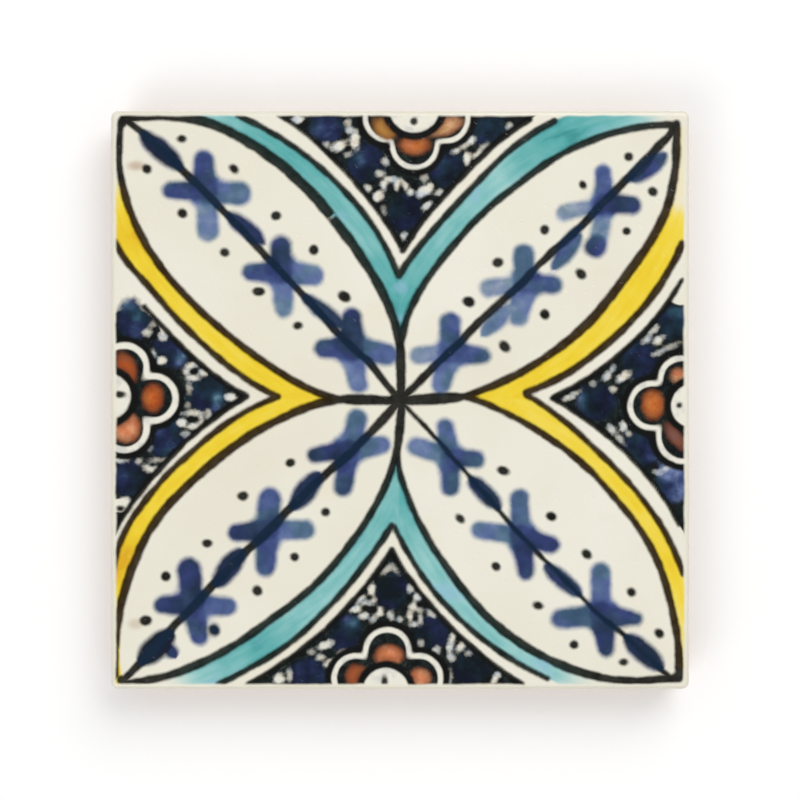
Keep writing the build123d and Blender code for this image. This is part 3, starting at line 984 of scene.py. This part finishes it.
def mix(share, under, top, how="MIX"):
    """One colour over another."""
    feeds = {SHARE: share, UNDER: under, TOP: top}
    return add_node("ShaderNodeMix", feeds, data_type="RGBA", blend_type=how).outputs[MIXED]


def paint(red, green, blue):
    """A paint colour given as it looks on a screen, 0 to 255, turned into the light it reflects."""
    shares = [channel / 255 for channel in (red, green, blue)]
    light = [s / 12.92 if s <= 0.04045 else ((s + 0.055) / 1.055) ** 2.4 for s in shares]
    return (*light, 1.0)


def colour_steps(value, steps):
    """A ramp of colours, each at its place from 0 to 1."""
    made = add_node("ShaderNodeValToRGB", {"Fac": value})
    ramp = made.color_ramp
    while len(ramp.elements) < len(steps):
        ramp.elements.new(0.5)
    for element, (place, colour) in zip(ramp.elements, steps):
        element.position = place
        element.color = colour
    return made.outputs["Color"]


def paints(value, *steps):
    """A ramp of paints. Each step is a place and the red, green and blue seen on a screen."""
    return colour_steps(value, [(place, paint(*seen)) for place, *seen in steps])


def end_material(colour, roughness, height, **more):
    """The last nodes of a material: relief from a height in millimetres, one shader and the output."""
    relief = add_node("ShaderNodeBump", {"Strength": 1.0, "Distance": MM, "Height": height})
    feeds = {"Base Color": colour, "Roughness": roughness, "Normal": relief.outputs["Normal"], **more}
    shader = add_node("ShaderNodeBsdfPrincipled", feeds)
    add_node("ShaderNodeOutputMaterial", {"Surface": shader.outputs["BSDF"]})


# %% [markdown]
# ## Two shared effects
# Every painted layer needs the same thing: a distance turned into the edge that a loaded brush leaves,
# soft and slightly ragged. That is one node group, used once for each layer with its own softness. Bare
# fired clay is the second group: the sides show it below the glaze, and the back shows nothing else.

# %% The brush edge
FLOAT, COLOUR = "NodeSocketFloat", "NodeSocketColor"
tree, given, result = new_group(
    "brush edge",
    {"Distance": FLOAT, "Softness": FLOAT, "Raggedness": FLOAT, "Lump Size": FLOAT},
    {"Mask": FLOAT},
)
brush_edge = tree
lumps = maths("DIVIDE", 1.0, given.outputs["Lump Size"])
ragged = add_node("ShaderNodeTexNoise", {
    "Vector": millimetres(), "Scale": lumps, "Detail": 3.0, "Roughness": 0.55,
}).outputs["Fac"]
distance = varied(given.outputs["Distance"], ragged, given.outputs["Raggedness"])
softness = given.outputs["Softness"]
mask = rescale(distance, softness, times(softness, -1), soft=True)
tree.links.new(mask, result.inputs["Mask"])
print(f"brush edge: {len(tree.nodes)} nodes")

# %% The fired clay
tree, given, result = new_group("fired clay", {"Lightness": FLOAT}, {"Colour": COLOUR, "Height": FLOAT})
fired_clay = tree
where = millimetres()
sand = grain(0.55, detail=3, rough=0.7)
clay = paints(grain(14, detail=4), (0.25, 193, 148, 112), (0.5, 206, 165, 128), (0.75, 217, 181, 146))
clay = mix(times(rescale(sand, 0.3, 0.75), 0.28), clay, paint(158, 112, 80))
clay = mix(times(rescale(grain(1.7), 0.64, 0.72), 0.45), clay, paint(232, 214, 188))
clay = mix(given.outputs["Lightness"], clay, paint(240, 230, 212))
tree.links.new(clay, result.inputs["Colour"])
tree.links.new(times(sand, 0.06), result.inputs["Height"])
print(f"fired clay: {len(tree.nodes)} nodes")

# %% [markdown]
# ## The painted glaze
# The finish is built in the order in which the painter worked. First comes the cream glaze, which is
# never quite even. Then the washes, the blue dabs, the dark spandrels with their navy, the cream left
# open, the rust, and the black lines on top. Each layer is one mix with its own brush edge.

# %% The material and its first layer, the cream glaze
glaze = bpy.data.materials.new("painted_glaze")
tree = empty_tree(glaze)
where = millimetres()


def brush(distance, softness, raggedness, lumps):
    """The mask of one painted layer, from its distance in millimetres."""
    feeds = {"Distance": distance, "Softness": softness, "Raggedness": raggedness, "Lump Size": lumps}
    return add_node("ShaderNodeGroup", feeds, node_tree=brush_edge).outputs["Mask"]


def brushed(layer, softness, raggedness, lumps):
    """The mask of a layer that is stored on the mesh."""
    return brush(layer_value(layer), softness, raggedness, lumps)


broad = grain(24, detail=3)
colour = paints(broad, (0.28, 232, 226, 208), (0.5, 236, 232, 216), (0.72, 239, 236, 222))
warm = rescale(grain(9), 0.58, 0.8)
colour = mix(times(warm, 0.35), colour, paint(234, 221, 192))
bare_glaze = colour
colour = mix(layer_value("smudge_load"), colour, paint(160, 112, 62))
print(f"glaze: {len(tree.nodes)} nodes")

# %% Washes of turquoise and yellow, with streaks along the brush
along = times(layer_value("wash_along"), 0.11)
across = times(layer_value("wash_across"), 0.75)
streak_place = add_node("ShaderNodeCombineXYZ", {"X": along, "Y": across}).outputs["Vector"]
streak = grain(1.0, place=streak_place)
pool = grain(3.2, detail=3)
load = layer_value("wash_load")
uneven_load = varied(varied(load, streak, 0.6), pool, 0.35)
coverage = rescale(load, 0.02, 0.3, soft=True)
turquoise = paints(uneven_load, (0.05, 192, 219, 212), (0.35, 148, 202, 200), (0.6, 117, 185, 183),
                   (0.85, 90, 172, 171), (1.0, 68, 150, 149))
sky_tint = rescale(grain(6, detail=1), 0.6, 0.74, 0.0, 0.55, soft=True)
turquoise = mix(sky_tint, turquoise, paint(146, 190, 212))
yellow = paints(uneven_load, (0.05, 241, 226, 168), (0.35, 244, 219, 90), (0.6, 241, 211, 58),
                (0.85, 235, 198, 46), (1.0, 224, 174, 40))
for layer, wash in (("turquoise_edge", turquoise), ("yellow_edge", yellow)):
    colour = mix(times(brushed(layer, 0.3, 0.5, 2.0), coverage), colour, wash)
print(f"with the washes: {len(tree.nodes)} nodes")

# %% Blue dabs: pale to dark with the load, and here and there a greener blue
water = grain(2.4, detail=3)
dab = times(varied(layer_value("dab_load"), water, 0.5), 0.6)
violet_blue = paints(dab, (0.05, 180, 190, 204), (0.16, 134, 147, 172), (0.24, 108, 126, 166),
                     (0.34, 88, 105, 152), (0.46, 66, 82, 130), (0.55, 52, 63, 113),
                     (0.7, 34, 48, 77), (0.9, 20, 29, 48))
green_blue = paints(dab, (0.05, 178, 192, 198), (0.16, 130, 148, 165), (0.24, 102, 127, 153),
                    (0.34, 80, 107, 134), (0.46, 62, 88, 114), (0.55, 50, 69, 100),
                    (0.7, 33, 50, 72), (0.9, 20, 33, 48))
hue = rescale(grain(4.5, detail=1), 0.4, 0.62, soft=True)
dab_mask = brushed("dab_edge", 0.65, 0.8, 2.6)
colour = mix(dab_mask, colour, mix(hue, violet_blue, green_blue))
print(f"with the dabs: {len(tree.nodes)} nodes")

# %% Dark spandrels with navy and teal dabs, and the flecks of glaze that were left open
scribble = grain(1.6, detail=4, rough=0.65, twist=0.6)
black = paints(scribble, (0.38, 10, 14, 16), (0.55, 22, 30, 30), (0.66, 38, 48, 42), (0.8, 80, 90, 88))
colour = mix(brushed("ground_edge", 0.2, 0.5, 1.6), colour, black)
depth = varied(layer_value("navy_load"), water, 1.0)
navy = paints(depth, (0.02, 122, 138, 180), (0.3, 62, 77, 118), (0.55, 34, 45, 80), (0.8, 22, 30, 56),
              (1.0, 14, 19, 38))
teal = paints(depth, (0.02, 112, 146, 160), (0.3, 52, 84, 104), (0.55, 30, 52, 70), (0.8, 20, 36, 48),
              (1.0, 12, 22, 28))
colour = mix(brushed("navy_edge", 0.7, 1.6, 2.2), colour, mix(hue, navy, teal))
tint = grain(1.9)
open_glaze = paints(tint, (0.3, 190, 200, 208), (0.42, 216, 218, 213), (0.55, 233, 229, 214),
                    (0.72, 214, 205, 188))
bare = times(brushed("fleck_edge", 0.4, 1.1, 1.1), layer_value("fleck_bare"))
colour = mix(bare, colour, open_glaze)
print(f"with the spandrels: {len(tree.nodes)} nodes")

# %% Cream rims of the rosettes, and rust petals that darken towards their edges
rim_glaze = paints(tint, (0.32, 216, 214, 206), (0.5, 236, 233, 219))
colour = mix(brushed("rim_edge", 0.22, 0.3, 2.4), colour, rim_glaze)
iron = varied(layer_value("rust_load"), grain(1.3), 0.5)
rust = paints(iron, (0.0, 188, 136, 66), (0.12, 230, 182, 136), (0.3, 216, 134, 94), (0.5, 200, 114, 54),
              (0.66, 186, 84, 30), (0.85, 156, 90, 58), (1.0, 132, 92, 84))
petal_rim = rescale(layer_value("rust_edge"), -1.7, 0.2, 0.0, 0.75, soft=True)
rust = mix(petal_rim, rust, paint(104, 56, 36))
colour = mix(brushed("rust_edge", 0.5, 0.9, 1.8), colour, rust)
print(f"with the rosettes: {len(tree.nodes)} nodes")

# %% Black lines on top, browner where they cross a wash
INK_SPREAD = 0.1
TINT_FROM, TINT_FULL = 14.0, 18.0
density = rescale(grain(1.8), 0.25, 0.7, 1.0, 0.97)
spine = varied(layer_value("spine_side"), grain(9), 1.2)
from_spine = minus(maths("ABSOLUTE", spine), layer_value("spine_half"))
nearest_ink = maths("MINIMUM", from_spine, layer_value("ink_edge"))
ink_mask = brush(minus(nearest_ink, INK_SPREAD), 0.32, 0.6, 3.0)
soaked = mix(1.0, colour, paint(66, 60, 48), how="MULTIPLY")
ink = mix(0.93, soaked, paint(9, 11, 9))
ink = mix(times(dab_mask, 0.9), ink, paint(12, 36, 60))
from_middle = add_node("ShaderNodeVectorMath", {0: where}, operation="LENGTH").outputs["Value"]
tinted = times(coverage, rescale(from_middle, TINT_FROM, TINT_FULL))
for layer, stain in (("yellow_edge", paint(48, 31, 4)), ("turquoise_edge", paint(20, 33, 29))):
    beside = rescale(layer_value(layer), 1.5, 0.7, 0.0, 0.85, soft=True)
    ink = mix(times(beside, tinted), ink, stain)
colour = mix(times(ink_mask, density), colour, ink)
print(f"with the ink: {len(tree.nodes)} nodes")

# %% The brush stops short of the rounded edge, and the cream is darker on that edge
PAINT_REACH = 49.0
DARKER_FROM, DARKER_FULL = 48.8, 49.8
spread = add_node("ShaderNodeVectorMath", {0: where}, operation="ABSOLUTE").outputs["Vector"]
spread = add_node("ShaderNodeSeparateXYZ", {"Vector": spread})
outward = maths("MAXIMUM", spread.outputs["X"], spread.outputs["Y"])
painted = brush(minus(outward, PAINT_REACH), 0.3, 0.6, 4.5)
# The cream gets darker over the last millimetre out to the edge, where the face rounds over.
edge_darkening = rescale(outward, DARKER_FROM, DARKER_FULL, 0.0, 0.6, soft=True)
darker_edge_glaze = mix(edge_darkening, bare_glaze, paint(222, 216, 198))
colour = mix(painted, darker_edge_glaze, colour)
print(f"with the edge: {len(tree.nodes)} nodes")

# %% Where the glaze ends on the sides, and the clay shows
GLAZE_FOOT, DRIP = 5.2, 5.5
FACE_FROM, SIDE_FROM = 9.6, 8.4
CLAY_LIGHTNESS = 0.12
up = add_node("ShaderNodeSeparateXYZ", {"Vector": where}).outputs["Z"]
above_foot = minus(up, varied(GLAZE_FOOT, grain(7), DRIP))
glazed = rescale(above_foot, -0.25, 0.25, soft=True)
unglazed = minus(1.0, glazed)
below_face = rescale(up, FACE_FROM, SIDE_FROM, soft=True)
side_glaze = paints(pool, (0.3, 222, 212, 190), (0.7, 234, 227, 210))
thin_foot = rescale(above_foot, 1.1, 0.0, 0.0, 0.7, soft=True)
side_glaze = mix(thin_foot, side_glaze, paint(214, 184, 148))
colour = mix(below_face, colour, side_glaze)
side_clay = add_node("ShaderNodeGroup", {"Lightness": CLAY_LIGHTNESS}, node_tree=fired_clay)
colour = mix(glazed, side_clay.outputs["Colour"], colour)
print(f"with the sides: {len(tree.nodes)} nodes")

# %% Gloss and relief: a hard wavy gloss on the glaze, none on the clay
CLAY_ROUGHNESS = 0.82
GLAZE_DEPTH = 0.12
gloss = rescale(grain(5, detail=3), 0.3, 0.7, 0.1, 0.2)
gloss = plus(gloss, times(ink_mask, 0.06))
roughness = plus(times(gloss, glazed), times(unglazed, CLAY_ROUGHNESS))
wave = times(grain(6, detail=1), 0.09)
peel = times(grain(1.1, detail=1), 0.008)
pit = rescale(grain(0.8, detail=0), 0.2, 0.28, -0.02, 0.0)
ridge = times(ink_mask, 0.012)
glaze_height = plus(plus(wave, peel), plus(pit, ridge))
glaze_height = times(plus(glaze_height, GLAZE_DEPTH), glazed)
bare_height = times(side_clay.outputs["Height"], unglazed)
end_material(colour, roughness, plus(glaze_height, bare_height), IOR=1.5)
print(f"painted glaze: {len(tree.nodes)} nodes")

# %% [markdown]
# ## The bare back
# The back is pressed clay with nothing on it. It takes the same clay group as the foot of the sides,
# so that the two meet without a seam, and it is matt and sandy.

# %% The clay material, and which faces take it
biscuit = bpy.data.materials.new("fired_clay")
tree = empty_tree(biscuit)
where = millimetres()
back_clay = add_node("ShaderNodeGroup", {"Lightness": CLAY_LIGHTNESS}, node_tree=fired_clay)
dry = rescale(grain(3), 0.3, 0.7, 0.78, 0.9)
end_material(back_clay.outputs["Colour"], dry, back_clay.outputs["Height"])
tile.data.materials.clear()
tile.data.materials.append(glaze)
tile.data.materials.append(biscuit)
CLAY_FACING, CLAY_HEIGHT = -0.3, 1.0
is_back = (face_normal[:, 2] < CLAY_FACING) | (face_height < CLAY_HEIGHT)
tile.data.polygons.foreach_set("material_index", is_back.astype(np.int32))
tile.data.update()
print(f"{np.sum(is_back)} faces of bare clay")

# %% [markdown]
# ## The studio
# The tile lies on its back on a white floor, and the camera looks straight down on it, as in the
# reference. A glossy face mirrors what lies across from the camera. Straight overhead and low above the
# horizon the sky is therefore dim, and the light comes from a bright ring between them and from two
# large soft lamps. Then the black lines stay black from above and from low down.

# %% Floor: it keeps the shadow near the tile and turns to plain white further out
FLOOR_SIZE = 6
WHITE_FROM, WHITE_FULL = 0.12, 0.5
WHITE = (1, 1, 1, 1)
bpy.ops.object.select_all(action="DESELECT")
bpy.ops.mesh.primitive_plane_add(size=FLOOR_SIZE)
floor = bpy.context.object
floor.name = "studio_floor"
paper = bpy.data.materials.new("white_paper")
tree = empty_tree(paper)
place = add_node("ShaderNodeTexCoord").outputs["Object"]
from_tile = add_node("ShaderNodeVectorMath", {0: place}, operation="LENGTH").outputs["Value"]
far_white = rescale(from_tile, WHITE_FROM, WHITE_FULL, 0.1, 1.0, soft=True)
seen = add_node("ShaderNodeLightPath").outputs["Is Camera Ray"]
matt = add_node("ShaderNodeBsdfDiffuse", {"Color": (0.9, 0.9, 0.9, 1)})
glow = add_node("ShaderNodeEmission", {"Color": WHITE, "Strength": times(seen, far_white)})
both = add_node("ShaderNodeAddShader", {0: matt.outputs[0], 1: glow.outputs[0]})
add_node("ShaderNodeOutputMaterial", {"Surface": both.outputs[0]})
floor.data.materials.append(paper)
print(f"the floor is {FLOOR_SIZE} m wide and plain white from {WHITE_FULL} m outwards")

# %% Sky: a bright ring half way up, and plain white where the camera looks into it
SKY_STEPS = [(0.0, 0.95), (0.12, 0.42), (0.32, 0.36), (0.56, 0.85), (0.8, 0.85), (0.94, 0.12)]
world = bpy.data.worlds.new("studio")
bpy.context.scene.world = world
tree = empty_tree(world)
direction = add_node("ShaderNodeTexCoord").outputs["Generated"]
rise = add_node("ShaderNodeSeparateXYZ", {"Vector": direction}).outputs["Z"]
sky = colour_steps(rise, [(place, (light, light, light, 1)) for place, light in SKY_STEPS])
seen = add_node("ShaderNodeLightPath").outputs["Is Camera Ray"]
background = add_node("ShaderNodeBackground", {"Color": mix(seen, sky, WHITE), "Strength": 1.0})
add_node("ShaderNodeOutputWorld", {"Surface": background.outputs[0]})
print(f"the sky has {len(SKY_STEPS)} steps from the horizon up")


# %% Lamps to the sides
def lamp(name, bearing, tilt, distance, size, power):
    """A soft square lamp that points at the tile. Tilt is counted from straight overhead."""
    turn, lean = radians(bearing), radians(tilt)
    place = (distance * sin(lean) * cos(turn), distance * sin(lean) * sin(turn), distance * cos(lean))
    bpy.ops.object.light_add(type="AREA", location=place, rotation=(0, lean, turn))
    made = bpy.context.object
    made.name = name
    made.data.shape = "SQUARE"
    made.data.size = size
    made.data.energy = power
    print(f"{name}: {power} W from {tilt} degrees off the vertical")


lamp("key_lamp", bearing=62, tilt=44, distance=1.1, size=0.8, power=5.5)
lamp("fill_lamp", bearing=232, tilt=48, distance=1.2, size=0.8, power=3.8)

# %% Camera straight above, with the whole tile in view
LENS = 85
SENSOR = 36
FRAME_PIXELS = 800
TILE_PIXELS = 580
view_width = side * FRAME_PIXELS / TILE_PIXELS
camera_height = thickness + view_width * LENS / SENSOR
bpy.ops.object.camera_add(location=(0, 0, camera_height), rotation=(0, 0, 0))
camera = bpy.context.object
camera.data.lens = LENS
camera.data.sensor_width = SENSOR
camera.data.clip_start = 0.01
bpy.context.scene.camera = camera
bpy.context.scene.view_settings.view_transform = "Standard"
print(f"the camera hangs {camera_height / MM:.0f} mm above the floor")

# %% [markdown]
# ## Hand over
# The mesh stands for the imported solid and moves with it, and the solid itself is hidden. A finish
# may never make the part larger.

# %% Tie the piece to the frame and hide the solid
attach(tile, "root")
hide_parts("glazed_tile")
bpy.context.view_layer.update()
